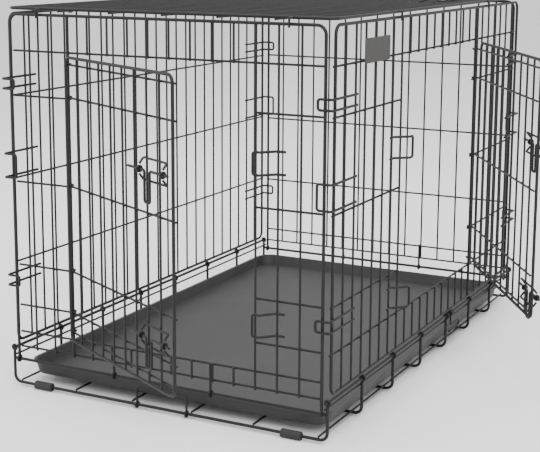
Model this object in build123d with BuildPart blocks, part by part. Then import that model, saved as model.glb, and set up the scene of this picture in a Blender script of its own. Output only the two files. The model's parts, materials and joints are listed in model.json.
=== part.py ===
from build123d import *
from math import cos, radians, sin
import os

# A folding wire dog crate with a door in one end and a door in one side.
# Millimetres. X runs across the crate, +Y from the front end to the rear, +Z up.
# The origin is on the floor under the middle of the base.

os.makedirs("parts", exist_ok=True)

# ---- overall sizes
crate_length = 914.0
crate_width = 584.0
crate_height = 635.0

# ---- wire stock
frame_wire = 5.0  # panel frames, base cross wires, hinge wires
mesh_wire = 3.5  # panel filling wires
latch_wire = 4.0  # bolts, brackets, receivers, corner loops
touch = 0.02  # gap that stands for a weld between two wires
running = 0.1  # radial clearance of a wire ring that turns on a wire

# ---- wire counts
end_spaces = 15  # spaces across an end panel
side_spaces = 24  # spaces along a side panel
base_cross_count = 8
base_floor_count = 6
top_long_count = 5

# ---- base
foot_diameter = 14.0
foot_length = 34.0
foot_inset = 62.0  # middle of a foot from the crate's corner
base_bend = 12.0
side_hinge_z = 66.0  # full-length bottom wire of each side, in the base's eyelets
side_hook_clear = 0.3  # eyelets to the side frame above them
end_hinge_z = 48.0  # wire that the end panels swing on
side_rail_z = 55.0
corner_gap = 10.0  # end panel's frame inside the outside of the crate
side_end_gap = 11.0  # side panel's frame inside the crate's ends
panel_bend = 14.0

# ---- heights of the long cross wires, from the floor
front_full_rows = (565.0, 95.0, 69.0)
front_part_rows = (492.0, 350.0, 210.0, 141.0)
rear_rows = (492.0, 350.0, 210.0, 95.0, 69.0)
left_rows = (491.0, 354.0, 213.0)
right_full_rows = (564.0,)
right_part_rows = (490.0, 346.0, 207.0)
right_door_sill = 134.0
end_row_margin = 2.0  # how far a filling wire runs past the wire it is welded to

# ---- doors
front_door_first, front_door_last = 3, 12
side_door_first, side_door_last = 7, 17
front_door_open = 28.0
side_door_open = 33.0
door_overlap = 2.0  # free edge past the opening's wire
door_gap = 5.0  # door frame to the rows above and below the opening
door_bend = 12.0
door_standoff = 0.6  # door's long wires in front of the panel's uprights when shut
door_hinge_side = 11.0  # door frame's hinge side from the hinge wire
door_row_rise = 4.0  # door's long wires, and the rings they end in, above the panel's
door_spaces_front = 9
door_spaces_side = 10

# ---- slide bolts
bolt_nose = 4.0  # tip past the door's free edge when drawn back
bolt_grip_inset = 46.0  # grip's near leg from the door's free edge
bolt_grip_width = 15.0
bolt_grip_drop = 46.0
bolt_tail = 48.0
bolt_standoff = 11.0  # rod's centre in front of the door's uprights
bolt_ring_inset = 9.0
bolt_ring_gap = 66.0
bracket_rise = 16.0
bracket_bend = 2.5
front_bolt_heights = (421.0, 176.0)
side_bolt_heights = (418.0, 171.0)
receiver_height = 34.0
receiver_length = 44.0
receiver_slack = 0.9  # between a shot bolt and the receiver's closed end

# ---- tray
tray_inset = 20.0  # from the crate's ends
tray_side_gap = 3.0  # from the side rails
tray_rim_z = 39.0
tray_floor_z = 18.0
tray_wall = 2.4
tray_corner = 30.0
tray_draft = 8.0  # the tray narrows by this on each side towards its floor
tray_lip = 6.0
tray_rib_width = 5.0

# ---- small fittings
stop_width = 92.0
stop_height = 30.0
side_latch_turns = 3
side_latch_drop = 24.0
side_latch_grip = 46.0
side_latch_root = 26.0
carry_start, carry_spaces = 14, 5  # side spaces
carry_rise = 38.0
carry_grip = 12.0
carry_gap = 0.6
label_width = 98.0
label_height = 38.0
label_start = 2.75  # side spaces from the front post
loop_reach = 84.0  # corner loop along the side panel
loop_hook = 18.0  # how far it turns in front of the end panel
loop_spans = ((519.0, 503.0), (396.0, 357.0), (192.0, 175.0))

# ---- worked out from the sizes above
half_length, half_width = crate_length / 2, crate_width / 2
ring_major = frame_wire / 2 + running + mesh_wire / 2
side_x = half_width - frame_wire / 2
end_y = half_length - frame_wire / 2
side_bottom_z = side_hinge_z + ring_major + (mesh_wire + frame_wire) / 2 + side_hook_clear
end_post_x = half_width - corner_gap - frame_wire / 2
side_post_y = half_length - side_end_gap - frame_wire / 2
base_z = foot_diameter / 2
layer = mesh_wire + touch  # from one wire's centre to one welded across it
top_z = crate_height - frame_wire / 2
top_ring_major = frame_wire / 2 + running + latch_wire / 2
frame_top_z = top_z - top_ring_major - latch_wire / 2 - frame_wire / 2
end_pitch = 2 * end_post_x / end_spaces
side_pitch = 2 * side_post_y / side_spaces


def end_x(n):
    return -end_post_x + n * end_pitch


def side_y(n):
    return -side_post_y + n * side_pitch


def keep(group, name):
    """Labels a finished piece and writes it."""
    group.part.label = name
    export_step(group.part, f"parts/{name}.step")
    print(name, len(group.part.solids()), round(group.part.volume, 1))


def at(origin=(0, 0, 0), across=(1, 0, 0), up=(0, 0, 1)):
    """A plane whose local x is across and whose local z is up."""
    return Plane(origin=origin, x_dir=across, z_dir=up)


WORLD = at()


def rod(plane, start, end, diameter):
    """Adds one straight wire between two points of the plane's own space to the open part."""
    a, b = plane.from_local_coords(Vector(*start)), plane.from_local_coords(Vector(*end))
    run = b - a
    low_end = (Align.CENTER, Align.CENTER, Align.MIN)
    with Locations(Plane(origin=a, z_dir=run).location):
        Cylinder(diameter / 2, run.length, align=low_end)


def bent(plane, points, bend, diameter, close=False):
    """Adds one bent wire that runs through the points, with rounded corners, to the open part."""
    world_points = [plane.from_local_coords(Vector(*p)) for p in points]
    with BuildLine() as path:
        FilletPolyline(*world_points, radius=bend, close=close)
    wire = path.wire()
    with BuildSketch(Plane(origin=wire @ 0, z_dir=wire % 0)) as section:
        Circle(diameter / 2)
    sweep(sections=section.sketch, path=wire)


def ring(plane, centre, axis, major, diameter):
    """Adds a closed wire ring to the open part."""
    where = plane.from_local_coords(Vector(*centre))
    along = plane.from_local_coords(Vector(*axis)) - plane.from_local_coords(Vector(0, 0, 0))
    with Locations(Plane(origin=where, z_dir=along).location):
        Torus(major, diameter / 2)


# ======================================================================
# base: U-shaped cross wires with eyelets round the side panels' bottom wires
# ======================================================================
base_leg_top = side_hinge_z - ring_major - mesh_wire / 2 - touch
base_ys = [-half_length + frame_wire / 2 + i * (crate_length - frame_wire) / (base_cross_count - 1)
           for i in range(base_cross_count)]

with BuildPart() as base_cross_wires:
    for y in base_ys:
        outline = [(-side_x, y, base_leg_top), (-side_x, y, base_z),
                   (side_x, y, base_z), (side_x, y, base_leg_top)]
        bent(WORLD, outline, base_bend, frame_wire)
keep(base_cross_wires, "base_cross_wires")

floor_wire_z = base_z + frame_wire / 2 + mesh_wire / 2 + touch
floor_edge_x = side_x - base_bend - frame_wire / 2
with BuildPart() as base_floor_wires:
    for i in range(base_floor_count):
        x = -floor_edge_x + i * 2 * floor_edge_x / (base_floor_count - 1)
        rod(WORLD, (x, base_ys[0], floor_wire_z), (x, base_ys[-1], floor_wire_z), mesh_wire)
keep(base_floor_wires, "base_floor_wires")

rail_x = side_x - frame_wire / 2 - mesh_wire / 2 - touch
with BuildPart() as base_side_rails:
    for side in (-1, 1):
        x = side * rail_x
        rod(WORLD, (x, base_ys[0], side_rail_z), (x, base_ys[-1], side_rail_z), mesh_wire)
keep(base_side_rails, "base_side_rails")

with BuildPart() as end_hinge_wires:
    for y in (-end_y, end_y):
        reach = side_x - frame_wire / 2 - touch
        rod(WORLD, (-reach, y, end_hinge_z), (reach, y, end_hinge_z), frame_wire)
keep(end_hinge_wires, "end_hinge_wires")

with BuildPart() as base_eyelets:
    for side in (-1, 1):
        for y in base_ys:
            ring(WORLD, (side * side_x, y, side_hinge_z), (0, 1, 0), ring_major, mesh_wire)
keep(base_eyelets, "base_eyelets")

with BuildPart() as side_hinge_wires:
    for side in (-1, 1):
        reach = half_length
        rod(WORLD, (side * side_x, -reach, side_hinge_z), (side * side_x, reach, side_hinge_z),
            frame_wire)
keep(side_hinge_wires, "side_hinge_wires")

with BuildPart() as feet:
    for y in (base_ys[0], base_ys[-1]):
        for x in (-half_width + foot_inset, half_width - foot_inset):
            with Locations(Plane(origin=(x, y, base_z), z_dir=(1, 0, 0)).location):
                Cylinder(foot_diameter / 2, foot_length)
                Cylinder(frame_wire / 2, foot_length, mode=Mode.SUBTRACT)
    foot_rims = feet.edges().filter_by(GeomType.CIRCLE).filter_by(
        lambda e: e.radius > foot_diameter / 2 - touch)
    chamfer(foot_rims, 1.2)
keep(feet, "feet")


# ======================================================================
# side panels
# ======================================================================
def side_frame(name, side):
    with BuildPart() as frame:
        low, high = side_bottom_z, frame_top_z
        outline = [(side * side_x, side_post_y, low), (side * side_x, side_post_y, high),
                   (side * side_x, -side_post_y, high), (side * side_x, -side_post_y, low)]
        bent(WORLD, outline, panel_bend, frame_wire, close=True)
    keep(frame, name)


def upright_ends(low, high):
    """The ends of an upright that is welded between two frame wires."""
    inset = frame_wire / 2 + touch
    return low + inset, high - inset


side_frame("left_frame", -1)
side_frame("right_frame", 1)

side_low, side_high = upright_ends(side_bottom_z, frame_top_z)
side_row_x = side_x - layer  # the long wires are welded inside the uprights

with BuildPart() as left_uprights:
    for n in range(1, side_spaces):
        rod(WORLD, (-side_x, side_y(n), side_low), (-side_x, side_y(n), side_high), mesh_wire)
keep(left_uprights, "left_uprights")

row_reach_y = side_post_y - frame_wire / 2 - touch
with BuildPart() as left_long_wires:
    for z in left_rows:
        rod(WORLD, (-side_row_x, -row_reach_y, z), (-side_row_x, row_reach_y, z), mesh_wire)
keep(left_long_wires, "left_long_wires")

top_row = right_full_rows[0]
with BuildPart() as right_uprights:
    for n in range(1, side_spaces):
        x, y = side_x, side_y(n)
        if side_door_first < n < side_door_last:
            rod(WORLD, (x, y, top_row - end_row_margin), (x, y, side_high), mesh_wire)
            rod(WORLD, (x, y, side_low), (x, y, right_door_sill + end_row_margin), mesh_wire)
        elif n != side_door_last:
            rod(WORLD, (x, y, side_low), (x, y, side_high), mesh_wire)
keep(right_uprights, "right_uprights")

side_hinge_y = side_y(side_door_last)
with BuildPart() as right_door_post:
    rod(WORLD, (side_x, side_hinge_y, side_low), (side_x, side_hinge_y, side_high), frame_wire)
keep(right_door_post, "right_door_post")

post_clear = frame_wire / 2 + mesh_wire / 2 + touch
with BuildPart() as right_long_wires:
    x = side_x - post_clear
    for z in right_full_rows:
        rod(WORLD, (x, -row_reach_y, z), (x, row_reach_y, z), mesh_wire)
    for z in right_part_rows:
        near = side_y(side_door_first) + end_row_margin
        rod(WORLD, (side_row_x, -row_reach_y, z), (side_row_x, near, z), mesh_wire)
        far = side_y(side_door_last) - end_row_margin
        rod(WORLD, (x, far, z), (x, row_reach_y, z), mesh_wire)
    rod(WORLD, (x, -row_reach_y, right_door_sill), (x, row_reach_y, right_door_sill), mesh_wire)
keep(right_long_wires, "right_long_wires")

# ======================================================================
# corner loops: welded to the side panels, each turns in front of an end panel's post
# ======================================================================
loop_x = side_x + (frame_wire + latch_wire) / 2 + touch
loop_front_y = half_length + latch_wire / 2 + 1.5


def corner_loops(name, side):
    with BuildPart() as loops:
        for end in (-1, 1):
            for high, low in loop_spans:
                x, deep = side * loop_x, end * (half_length - loop_reach)
                front = end * loop_front_y
                inner = side * (end_post_x - loop_hook / 2)
                path = [(x, deep, high), (x, front, high), (inner, front, high),
                        (inner, front, low), (x, front, low), (x, deep, low)]
                bent(WORLD, path, latch_wire, latch_wire)
    keep(loops, name)


corner_loops("left_corner_loops", -1)
corner_loops("right_corner_loops", 1)

with BuildPart() as label_plate:
    label_y = side_y(label_start) + label_width / 2
    label_z = top_row - mesh_wire + label_height / 2
    plate_x = side_x + mesh_wire / 2 + touch
    with BuildSketch(Plane(origin=(plate_x, label_y, label_z), x_dir=(0, 1, 0), z_dir=(1, 0, 0))):
        RectangleRounded(label_width, label_height, 3)
    extrude(amount=1.2)
keep(label_plate, "label_plate")


# ======================================================================
# end panels
# ======================================================================
hook_major = frame_wire / 2 + running + latch_wire / 2
hook_numbers = (5, 10)
hook_stem_top = 97.0
hook_gap = 1.2  # top hook to the panel it hangs over
hook_bend = 2.2


def end_frame(name, y):
    with BuildPart() as frame:
        low = end_hinge_z + hook_major + latch_wire / 2 + touch
        outline = [(-end_post_x, y, low), (-end_post_x, y, frame_top_z),
                   (end_post_x, y, frame_top_z), (end_post_x, y, low)]
        bent(WORLD, outline, panel_bend, frame_wire)
    keep(frame, name)


def hinge_hooks(name, y):
    """Rings round the hinge wire, with stems welded to the lowest filling wires."""
    ring_top = end_hinge_z + hook_major + latch_wire / 2 + touch
    beside = (mesh_wire + latch_wire) / 2 + touch
    with BuildPart() as hooks:
        for x in (end_x(0), end_x(end_spaces)):
            ring(WORLD, (x, y, end_hinge_z), (1, 0, 0), hook_major, latch_wire)
        for x in (end_x(hook_numbers[0]) + beside, end_x(hook_numbers[1]) - beside):
            ring(WORLD, (x, y, end_hinge_z), (1, 0, 0), hook_major, latch_wire)
            rod(WORLD, (x, y, ring_top), (x, y, hook_stem_top), latch_wire)
    keep(hooks, name)


end_frame("front_frame", -end_y)
end_frame("rear_frame", end_y)
hinge_hooks("front_hinge_hooks", -end_y)
hinge_hooks("rear_hinge_hooks", end_y)

end_high = frame_top_z - frame_wire / 2 - touch
end_low = front_full_rows[-1] - end_row_margin
row_reach_x = end_post_x - frame_wire / 2 - touch
front_top_row, front_sill_row = front_full_rows[0], front_full_rows[1]

with BuildPart() as front_uprights:
    for n in range(1, end_spaces):
        x, y = end_x(n), -end_y
        if front_door_first < n < front_door_last:
            rod(WORLD, (x, y, front_top_row - end_row_margin), (x, y, end_high), mesh_wire)
            rod(WORLD, (x, y, end_low), (x, y, front_sill_row + end_row_margin), mesh_wire)
        elif n != front_door_first:
            rod(WORLD, (x, y, end_low), (x, y, end_high), mesh_wire)
keep(front_uprights, "front_uprights")

front_hinge_x = end_x(front_door_first)
with BuildPart() as front_door_post:
    rod(WORLD, (front_hinge_x, -end_y, end_low), (front_hinge_x, -end_y, end_high), frame_wire)
keep(front_door_post, "front_door_post")

with BuildPart() as front_long_wires:
    y = -end_y + post_clear
    for z in front_full_rows:
        rod(WORLD, (-row_reach_x, y, z), (row_reach_x, y, z), mesh_wire)
    for z in front_part_rows:
        left_end = end_x(front_door_first) + end_row_margin
        rod(WORLD, (-row_reach_x, y, z), (left_end, y, z), mesh_wire)
        right_start = end_x(front_door_last) - end_row_margin
        rod(WORLD, (right_start, -end_y + layer, z), (row_reach_x, -end_y + layer, z), mesh_wire)
keep(front_long_wires, "front_long_wires")

with BuildPart() as rear_uprights:
    for n in range(1, end_spaces):
        rod(WORLD, (end_x(n), end_y, end_low), (end_x(n), end_y, end_high), mesh_wire)
keep(rear_uprights, "rear_uprights")

with BuildPart() as rear_long_wires:
    for z in rear_rows:
        y = end_y - post_clear
        rod(WORLD, (-row_reach_x, y, z), (row_reach_x, y, z), mesh_wire)
keep(rear_long_wires, "rear_long_wires")


# ======================================================================
# doors: each is built in a plane on its hinge wire, local x across the door,
# local y into the crate, local z up
# ======================================================================
front_door_plane = at((front_hinge_x, -end_y, 0),
                      (cos(radians(front_door_open)), -sin(radians(front_door_open)), 0))
side_door_plane = at((side_x, side_hinge_y, 0),
                     (sin(radians(side_door_open)), -cos(radians(side_door_open)), 0))
front_door_width = (front_door_last - front_door_first) * end_pitch + door_overlap
side_door_width = (side_door_last - side_door_first) * side_pitch + door_overlap
hinge_ring_start = ring_major + mesh_wire + touch


def door(prefix, plane, outward, width, low, high, rows, spaces, bolt_heights):
    """The wires, hinge rings and bolt brackets of one door. outward is the sign of local y
    that faces out of the crate."""
    row_y = outward * (mesh_wire + door_standoff)
    face_y = row_y + outward * post_clear
    hinge_x = door_hinge_side
    frame_low, frame_high = low + door_gap, high - door_gap
    with BuildPart() as frame:
        outline = [(hinge_x, face_y, frame_low), (hinge_x, face_y, frame_high),
                   (width, face_y, frame_high), (width, face_y, frame_low)]
        bent(plane, outline, door_bend, frame_wire, close=True)
    keep(frame, f"{prefix}_door_frame")

    pitch = (width - hinge_x) / spaces
    in_low, in_high = upright_ends(frame_low, frame_high)
    with BuildPart() as uprights:
        for i in range(1, spaces):
            x = hinge_x + i * pitch
            rod(plane, (x, face_y, in_low), (x, face_y, in_high), mesh_wire)
    keep(uprights, f"{prefix}_door_uprights")

    ring_edge = (hinge_ring_start**2 - row_y**2) ** 0.5
    with BuildPart() as long_wires:
        for z in (frame_low + door_bend, *rows, frame_high - door_bend):
            rod(plane, (ring_edge, row_y, z), (width, row_y, z), mesh_wire)
    keep(long_wires, f"{prefix}_door_long_wires")

    with BuildPart() as rings:
        for z in (frame_low + door_bend, *rows, frame_high - door_bend):
            ring(plane, (0, 0, z), (0, 0, 1), ring_major, mesh_wire)
    keep(rings, f"{prefix}_door_hinge_rings")

    # each bolt is a rod with a hanging hairpin grip, and slides in two wire rings, which
    # two bowed wires carry in front of the door's uprights
    bolt_y = face_y + outward * bolt_standoff
    weld_y = face_y + outward * (frame_wire + mesh_wire) / 2 + outward * touch
    ring_radius = latch_wire / 2 + running + mesh_wire / 2
    ring_xs = (width - bolt_ring_inset, width - bolt_ring_inset - bolt_ring_gap)
    with BuildPart() as brackets:
        for z in bolt_heights:
            for x in ring_xs:
                ring(plane, (x, bolt_y, z), (1, 0, 0), ring_radius, mesh_wire)
            for step in (-1, 1):
                near, far = z + step * (ring_radius + mesh_wire + touch), z + step * bracket_rise
                path = [(ring_xs[1], bolt_y, near), (ring_xs[1], weld_y, far),
                        (ring_xs[0], weld_y, far), (ring_xs[0], bolt_y, near)]
                bent(plane, path, bracket_bend, mesh_wire)
    keep(brackets, f"{prefix}_bolt_brackets")

    for spot, z in zip(("upper", "lower"), bolt_heights):
        with BuildPart() as bolt:
            front_x = width - bolt_grip_inset
            back_x = front_x - bolt_grip_width
            low_z = z - bolt_grip_drop
            path = [(width + bolt_nose, bolt_y, z), (front_x, bolt_y, z), (front_x, bolt_y, low_z),
                    (back_x, bolt_y, low_z), (back_x, bolt_y, z), (back_x - bolt_tail, bolt_y, z)]
            bent(plane, path, latch_wire, latch_wire)
        keep(bolt, f"{prefix}_{spot}_bolt")


door("front", front_door_plane, -1, front_door_width, front_sill_row, front_top_row,
     [z + door_row_rise for z in front_part_rows], door_spaces_front, front_bolt_heights)
door("side", side_door_plane, 1, side_door_width, right_door_sill, top_row,
     [z + door_row_rise for z in right_part_rows], door_spaces_side, side_bolt_heights)


# ======================================================================
# receivers: loops that the bolts slide into
# ======================================================================
def receiver_path(start, length, standoff, z, weld):
    """A wire loop seen from above in a plane whose local y points out of the crate."""
    high, low = z + receiver_height / 2, z - receiver_height / 2
    end = start + length
    return [(end, weld, high), (end - length / 3, weld, high), (start + length / 4, standoff, high),
            (start, standoff, high), (start, standoff, low), (start + length / 4, standoff, low),
            (end - length / 3, weld, low), (end, weld, low)]


receiver_weld = (mesh_wire + latch_wire) / 2 + touch
receiver_start = door_overlap + (frame_wire + latch_wire) / 2 + receiver_slack
shut_bolt_y = mesh_wire + door_standoff + post_clear + bolt_standoff
receiver_standoff = shut_bolt_y + latch_wire + receiver_slack
with BuildPart() as front_receivers:
    outside = at((end_x(front_door_last) + receiver_start, -end_y, 0), (1, 0, 0))
    for z in front_bolt_heights:
        path = receiver_path(0, receiver_length, receiver_standoff, z, receiver_weld)
        bent(outside, [(x, -y, h) for x, y, h in path], latch_wire, latch_wire)
keep(front_receivers, "front_receivers")

with BuildPart() as side_receivers:
    outside = at((side_x, side_y(side_door_first) - receiver_start, 0), (0, -1, 0))
    for z in side_bolt_heights:
        path = receiver_path(0, receiver_length, receiver_standoff, z, receiver_weld)
        bent(outside, path, latch_wire, latch_wire)
keep(side_receivers, "side_receivers")

# ======================================================================
# top panel, hinged along the left side on wire rings
# ======================================================================
top_y = half_length - side_end_gap
with BuildPart() as top_frame:
    outline = [(-side_x, -top_y, top_z), (side_x, -top_y, top_z), (side_x, top_y, top_z),
               (-side_x, top_y, top_z)]
    bent(WORLD, outline, panel_bend, frame_wire, close=True)
keep(top_frame, "top_frame")

with BuildPart() as top_cross_wires:
    reach = side_x - frame_wire / 2 - touch
    for n in range(1, side_spaces):
        rod(WORLD, (-reach, side_y(n), top_z), (reach, side_y(n), top_z), mesh_wire)
keep(top_cross_wires, "top_cross_wires")

with BuildPart() as top_long_wires:
    for i in range(1, top_long_count + 1):
        x = -side_x + i * 2 * side_x / (top_long_count + 1)
        reach = top_y - frame_wire / 2 - touch
        rod(WORLD, (x, -reach, top_z - layer), (x, reach, top_z - layer), mesh_wire)
keep(top_long_wires, "top_long_wires")

with BuildPart() as top_hinge_rings:
    for n in (4, 9, 15, 20):
        for side_step in (-1, 1):
            y = side_y(n) + side_pitch / 2 + side_step * (latch_wire / 2 + touch)
            ring(WORLD, (-side_x, y, frame_top_z), (0, 1, 0), top_ring_major, latch_wire)
keep(top_hinge_rings, "top_hinge_rings")

with BuildPart() as top_hooks:
    hook_clear = mesh_wire / 2 + hook_gap
    for x, y, across, along in ((end_x(1) + end_pitch / 2, top_y, 0, -1),
                                (end_x(end_spaces - 2) + end_pitch / 2, top_y, 0, -1),
                                (end_x(1) + end_pitch / 2, top_y, 0, 1),
                                (end_x(end_spaces - 2) + end_pitch / 2, top_y, 0, 1),
                                (side_x, side_y(6) + side_pitch / 2, 1, 0),
                                (side_x, side_y(18) + side_pitch / 2, 1, 0)):
        root = frame_wire / 2 + touch
        start = (x + across * root, along * (y + root) if along else y, top_z)
        edge = (half_width + hook_clear if across else x, along * (half_length + hook_clear) if along else y)
        points = [start, (*edge, top_z), (*edge, frame_top_z - frame_wire)]
        bent(WORLD, points, hook_bend, mesh_wire)
keep(top_hooks, "top_hooks")

# ======================================================================
# carry handle: a strap bar that lies on the top panel and swings up
# ======================================================================
carry_pivot_x = -side_x + top_long_count * 2 * side_x / (top_long_count + 1)
carry_pivot_z = top_z - layer
carry_ys = (side_y(carry_start) + side_pitch / 2, side_y(carry_start + carry_spaces) + side_pitch / 2)
carry_ring = mesh_wire / 2 + running + mesh_wire / 2
carry_grip_z = top_z + mesh_wire / 2 + carry_grip / 2 + carry_gap
with BuildPart() as carry_bail:
    for y in carry_ys:
        ring(WORLD, (carry_pivot_x, y, carry_pivot_z), (0, 1, 0), carry_ring, mesh_wire)
    for y, step in zip(carry_ys, (1, -1)):
        start = carry_pivot_x + carry_ring + mesh_wire / 2 + touch
        path = [(start, y, carry_pivot_z), (carry_pivot_x + carry_rise, y, carry_grip_z),
                (carry_pivot_x + carry_rise, y + step * side_pitch, carry_grip_z)]
        bent(WORLD, path, 4.0, mesh_wire)
keep(carry_bail, "carry_bail")

with BuildPart() as carry_sleeve:
    middle_y = sum(carry_ys) / 2
    sleeve_length = carry_ys[1] - carry_ys[0] - 2 * side_pitch - 2 * touch
    with Locations(Plane(origin=(carry_pivot_x + carry_rise, middle_y, carry_grip_z),
                         z_dir=(0, 1, 0)).location):
        Cylinder(carry_grip / 2, sleeve_length)
    fillet(carry_sleeve.edges().filter_by(GeomType.CIRCLE), carry_grip / 4)
keep(carry_sleeve, "carry_sleeve")

# ======================================================================
# tray
# ======================================================================
tray_half_x, tray_half_y = rail_x - mesh_wire / 2 - tray_side_gap, half_length - tray_inset
with BuildPart() as tray:
    wide, long = 2 * tray_half_x, 2 * tray_half_y
    with BuildSketch(Plane.XY.offset(tray_floor_z)):
        RectangleRounded(wide - 2 * tray_draft, long - 2 * tray_draft, tray_corner - tray_draft / 2)
    with BuildSketch(Plane.XY.offset(tray_rim_z)):
        RectangleRounded(wide - tray_lip, long - tray_lip, tray_corner)
    loft()
    with BuildSketch(Plane.XY.offset(tray_floor_z + tray_wall)):
        RectangleRounded(wide - 2 * tray_draft - 2 * tray_wall, long - 2 * tray_draft - 2 * tray_wall,
                         tray_corner - tray_draft / 2 - tray_wall)
    with BuildSketch(Plane.XY.offset(tray_rim_z)):
        RectangleRounded(wide - tray_lip - 2 * tray_wall, long - tray_lip - 2 * tray_wall,
                         tray_corner - tray_wall)
    loft(mode=Mode.SUBTRACT)
    with BuildSketch(Plane.XY.offset(tray_rim_z - tray_wall)):
        RectangleRounded(wide, long, tray_corner + tray_lip / 2)
        RectangleRounded(wide - tray_lip - tray_wall, long - tray_lip - tray_wall, tray_corner,
                         mode=Mode.SUBTRACT)
    extrude(amount=tray_wall)
    rib_low = floor_wire_z + mesh_wire / 2 + 0.4
    for x in (-0.6, -0.2, 0.2, 0.6):
        with Locations((x * tray_half_x, 0, rib_low)):
            Box(tray_rib_width, long - 8 * tray_draft, tray_floor_z + touch - rib_low,
                align=(Align.CENTER, Align.CENTER, Align.MIN))
keep(tray, "tray")

# ======================================================================
# tray stop: a wire bail on the front base wire
# ======================================================================
stop_major = frame_wire / 2 + running + mesh_wire / 2
with BuildPart() as tray_stop:
    y = base_ys[0]
    for side in (-1, 1):
        ring(WORLD, (side * stop_width / 2, y, base_z), (1, 0, 0), stop_major, mesh_wire)
    low = base_z + stop_major
    outline = [(-stop_width / 2, y, low), (-stop_width / 2, y, base_z + stop_height),
               (stop_width / 2, y, base_z + stop_height), (stop_width / 2, y, low)]
    bent(WORLD, outline, 5.0, mesh_wire)
keep(tray_stop, "tray_stop")

# ======================================================================
# side latch: a coil on the right panel's bottom wire with a hairpin grip
# ======================================================================
latch_y = base_ys[4] + side_latch_root  # clear of the base leg beside it
with BuildPart() as side_latch:
    for i in range(side_latch_turns):
        y = latch_y - i * (mesh_wire + touch)
        ring(WORLD, (side_x, y, side_hinge_z), (0, 1, 0), ring_major, mesh_wire)
    high = side_hinge_z - ring_major - mesh_wire / 2 - touch
    grip_z = side_hinge_z - side_latch_drop
    outline = [(side_x, latch_y, high), (side_x, latch_y, grip_z),
               (side_x, latch_y + side_latch_grip, grip_z),
               (side_x, latch_y + side_latch_grip, grip_z - 3 * mesh_wire),
               (side_x, latch_y - 2 * mesh_wire, grip_z - 3 * mesh_wire)]
    bent(WORLD, outline, 4.0, mesh_wire)
keep(side_latch, "side_latch")
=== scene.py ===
# %% [markdown]
# # A wire dog crate in Blender
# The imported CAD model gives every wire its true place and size. This script gives those wires
# their coating, adds the weld nuggets where wires cross, and sets up a floor, lights and camera.

import json
import math

import bmesh
import bpy
from mathutils import Matrix, Vector


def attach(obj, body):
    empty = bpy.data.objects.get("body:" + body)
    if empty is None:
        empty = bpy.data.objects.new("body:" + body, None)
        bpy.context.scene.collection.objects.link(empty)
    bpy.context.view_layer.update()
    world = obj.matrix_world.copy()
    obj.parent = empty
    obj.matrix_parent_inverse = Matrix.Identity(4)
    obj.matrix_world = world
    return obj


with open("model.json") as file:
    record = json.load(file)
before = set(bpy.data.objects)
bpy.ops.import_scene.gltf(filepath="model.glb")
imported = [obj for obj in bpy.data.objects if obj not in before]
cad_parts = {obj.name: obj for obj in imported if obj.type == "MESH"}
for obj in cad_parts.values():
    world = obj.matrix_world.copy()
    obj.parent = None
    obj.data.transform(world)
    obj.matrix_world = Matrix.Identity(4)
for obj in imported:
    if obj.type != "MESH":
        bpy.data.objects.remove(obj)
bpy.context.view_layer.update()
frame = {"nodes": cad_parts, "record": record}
nodes = frame["nodes"]

# %% [markdown]
# ## Sizes
# Lengths are in metres. A nugget is the small swell of metal that a spot weld leaves. The door
# turns are the way each door points at rest, so that its wires can be boxed along their length.

# %% Sizes
NUGGET_RADIUS = 0.0023
NUGGET_FLATNESS = 0.8
WELD_REACH = 0.0009  # widest gap between two wires that a weld still bridges
FRONT_DOOR_TURN = math.radians(-28)
SIDE_DOOR_TURN = math.radians(33 - 90)
FLOOR_SIZE = 40.0
SKY_STRENGTH = 1.3
SENSOR_WIDTH = 36  # millimetres, as Blender's lens length is
LENS_LENGTH = 86.0
LENS_SHIFT = -0.10
CAMERA_PLACE = (1.043, -2.116, 0.736)
CAMERA_FORWARD = (-0.449, 0.876, -0.174)
CAMERA_DOWN = (0.084, -0.152, -0.985)

# %% [markdown]
# ## Materials
# Each finish is a short node tree: noise in object space varies the colour and roughness a
# little, and a finer noise drives a bump. Object space keeps the pattern still as parts move.


# %% A finish from two noises
def finish(name, dark, light, rough, patch_scale, grain_scale, bump, gloss=0.5):
    material = bpy.data.materials.new(name)
    material.use_nodes = True
    tree = material.node_tree
    surface = tree.nodes["Principled BSDF"]
    place = tree.nodes.new("ShaderNodeTexCoord")

    patches = tree.nodes.new("ShaderNodeTexNoise")
    patches.inputs["Scale"].default_value = patch_scale
    patches.inputs["Detail"].default_value = 4.0
    tree.links.new(place.outputs["Object"], patches.inputs["Vector"])

    colour = tree.nodes.new("ShaderNodeValToRGB")
    colour.color_ramp.elements[0].position = 0.3
    colour.color_ramp.elements[0].color = (*dark, 1)
    colour.color_ramp.elements[1].position = 0.75
    colour.color_ramp.elements[1].color = (*light, 1)
    tree.links.new(patches.outputs["Fac"], colour.inputs["Fac"])
    tree.links.new(colour.outputs["Color"], surface.inputs["Base Color"])

    roughness = tree.nodes.new("ShaderNodeMapRange")
    roughness.inputs["To Min"].default_value = rough[0]
    roughness.inputs["To Max"].default_value = rough[1]
    tree.links.new(patches.outputs["Fac"], roughness.inputs["Value"])
    tree.links.new(roughness.outputs["Result"], surface.inputs["Roughness"])

    grain = tree.nodes.new("ShaderNodeTexNoise")
    grain.inputs["Scale"].default_value = grain_scale
    grain.inputs["Detail"].default_value = 2.0
    tree.links.new(place.outputs["Object"], grain.inputs["Vector"])
    relief = tree.nodes.new("ShaderNodeBump")
    relief.inputs["Strength"].default_value = bump
    relief.inputs["Distance"].default_value = 0.0003
    tree.links.new(grain.outputs["Fac"], relief.inputs["Height"])
    tree.links.new(relief.outputs["Normal"], surface.inputs["Normal"])

    surface.inputs["Specular IOR Level"].default_value = gloss
    return material


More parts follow.
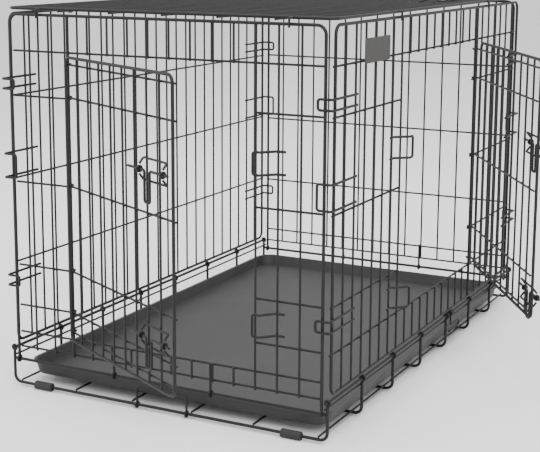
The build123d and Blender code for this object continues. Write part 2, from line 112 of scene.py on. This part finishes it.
# %% The crate's finishes, by the record's slot names
finishes = {
    "coated_wire": finish("coated_wire", (0.003, 0.003, 0.003), (0.008, 0.008, 0.009),
                          (0.44, 0.60), 60, 900, 0.25, gloss=0.3),
    "tray_plastic": finish("tray_plastic", (0.014, 0.014, 0.015), (0.026, 0.026, 0.028),
                           (0.48, 0.66), 14, 1400, 0.5),
    "foot_rubber": finish("foot_rubber", (0.010, 0.010, 0.010), (0.018, 0.018, 0.018),
                          (0.70, 0.85), 90, 1100, 0.4),
    "label_plate": finish("label_plate", (0.018, 0.017, 0.015), (0.028, 0.026, 0.023),
                          (0.45, 0.60), 40, 1200, 0.2),
    "grip_plastic": finish("grip_plastic", (0.012, 0.012, 0.012), (0.022, 0.022, 0.022),
                           (0.40, 0.55), 70, 1000, 0.2),
}
slot_of = {part["node"]: part["material_slot"] for part in frame["record"]["subparts"]}
for node_name, node in nodes.items():
    node.data.materials.clear()
    node.data.materials.append(finishes[slot_of[node_name]])
print("finishes:", sorted(finishes))

# %% [markdown]
# ## Finding where wires cross
# A node holds many separate wires. Walking its mesh from vertex to vertex finds them, and the
# box round each one, turned into the panel's own direction, gives its line.


# %% The wires of a node, as boxes
def wires(node_name, turn=0.0):
    mesh = bmesh.new()
    mesh.from_mesh(nodes[node_name].data)
    bmesh.ops.remove_doubles(mesh, verts=mesh.verts, dist=1e-6)
    flat = Matrix.Rotation(-turn, 3, "Z")
    seen, found = set(), []
    for first in mesh.verts:
        if first in seen:
            continue
        seen.add(first)
        group, queue = [], [first]
        while queue:
            vertex = queue.pop()
            group.append(flat @ vertex.co)
            for edge in vertex.link_edges:
                other = edge.other_vert(vertex)
                if other not in seen:
                    seen.add(other)
                    queue.append(other)
        low = Vector(min(p[i] for p in group) for i in range(3))
        high = Vector(max(p[i] for p in group) for i in range(3))
        found.append((low, high))
    mesh.free()
    return found


# %% Where two sets of wires touch
def crossings(first, second, turn=0.0):
    spots = []
    for low_a, high_a in wires(first, turn):
        for low_b, high_b in wires(second, turn):
            low = [max(low_a[i], low_b[i]) for i in range(3)]
            high = [min(high_a[i], high_b[i]) for i in range(3)]
            if all(high[i] - low[i] > -WELD_REACH for i in range(3)):
                middle = Vector((low[i] + high[i]) / 2 for i in range(3))
                spots.append(Matrix.Rotation(turn, 3, "Z") @ middle)
    return spots


# %% [markdown]
# ## Weld nuggets
# Each body's nuggets are one mesh, so that they ride on that body.


# %% Nuggets for one body
def nuggets(name, body, pairs, turn=0.0):
    mesh = bmesh.new()
    squashed = Matrix.Diagonal((1, 1, NUGGET_FLATNESS, 1))
    count = 0
    for first, second in pairs:
        for spot in crossings(first, second, turn):
            bmesh.ops.create_icosphere(mesh, subdivisions=2, radius=NUGGET_RADIUS,
                                       matrix=Matrix.Translation(spot) @ squashed)
            count += 1
    for face in mesh.faces:
        face.smooth = True
    data = bpy.data.meshes.new(name)
    mesh.to_mesh(data)
    mesh.free()
    data.materials.append(finishes["coated_wire"])
    obj = bpy.data.objects.new(name, data)
    bpy.context.scene.collection.objects.link(obj)
    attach(obj, body)
    print(name, count)


nuggets("front_welds", "front_panel", [("front_uprights", "front_long_wires")])
nuggets("rear_welds", "rear_panel", [("rear_uprights", "rear_long_wires")])
nuggets("side_welds", "crate", [("left_uprights", "left_long_wires"),
                                ("right_uprights", "right_long_wires")])
nuggets("top_welds", "top_panel", [("top_cross_wires", "top_long_wires")])
nuggets("front_door_welds", "front_door",
        [("front_door_uprights", "front_door_long_wires")], FRONT_DOOR_TURN)
nuggets("side_door_welds", "side_door",
        [("side_door_uprights", "side_door_long_wires")], SIDE_DOOR_TURN)

# %% [markdown]
# ## Floor, light and camera
# A pale floor and large soft lights, as in a plain studio.

# %% Floor
bpy.ops.mesh.primitive_plane_add(size=FLOOR_SIZE)
floor = bpy.context.object
floor.name = "floor"
floor.data.materials.append(finish("floor", (0.80, 0.80, 0.80), (0.84, 0.84, 0.84),
                                   (0.75, 0.85), 0.6, 40, 0.05))

# %% Light
world = bpy.context.scene.world or bpy.data.worlds.new("studio")
bpy.context.scene.world = world
world.use_nodes = True
sky = world.node_tree.nodes["Background"]
sky.inputs["Color"].default_value = (1, 1, 1, 1)
sky.inputs["Strength"].default_value = SKY_STRENGTH


def softbox(name, place, target, size, power):
    light = bpy.data.lights.new(name, "AREA")
    light.size = size
    light.energy = power
    obj = bpy.data.objects.new(name, light)
    obj.location = place
    obj.rotation_euler = (Vector(target) - Vector(place)).to_track_quat("-Z", "Y").to_euler()
    bpy.context.scene.collection.objects.link(obj)


softbox("key", (2.2, -2.6, 3.2), (0, 0, 0.3), 2.4, 150)
softbox("fill", (-3.0, -1.8, 2.2), (0, 0, 0.3), 3.0, 70)
softbox("overhead", (0, 0.4, 3.6), (0, 0, 0.3), 3.0, 90)

# %% Camera
forward = Vector(CAMERA_FORWARD).normalized()
down = Vector(CAMERA_DOWN)
right = down.cross(forward).normalized()
up = right.cross(forward).normalized()
lens = bpy.data.cameras.new("camera")
lens.sensor_width = SENSOR_WIDTH
lens.lens = LENS_LENGTH
lens.shift_y = LENS_SHIFT
camera = bpy.data.objects.new("camera", lens)
turn = Matrix((right, up, -forward)).transposed().to_4x4()
camera.matrix_world = Matrix.Translation(CAMERA_PLACE) @ turn
bpy.context.scene.collection.objects.link(camera)
bpy.context.scene.camera = camera
print("right", tuple(round(v, 3) for v in right), "up", tuple(round(v, 3) for v in up))
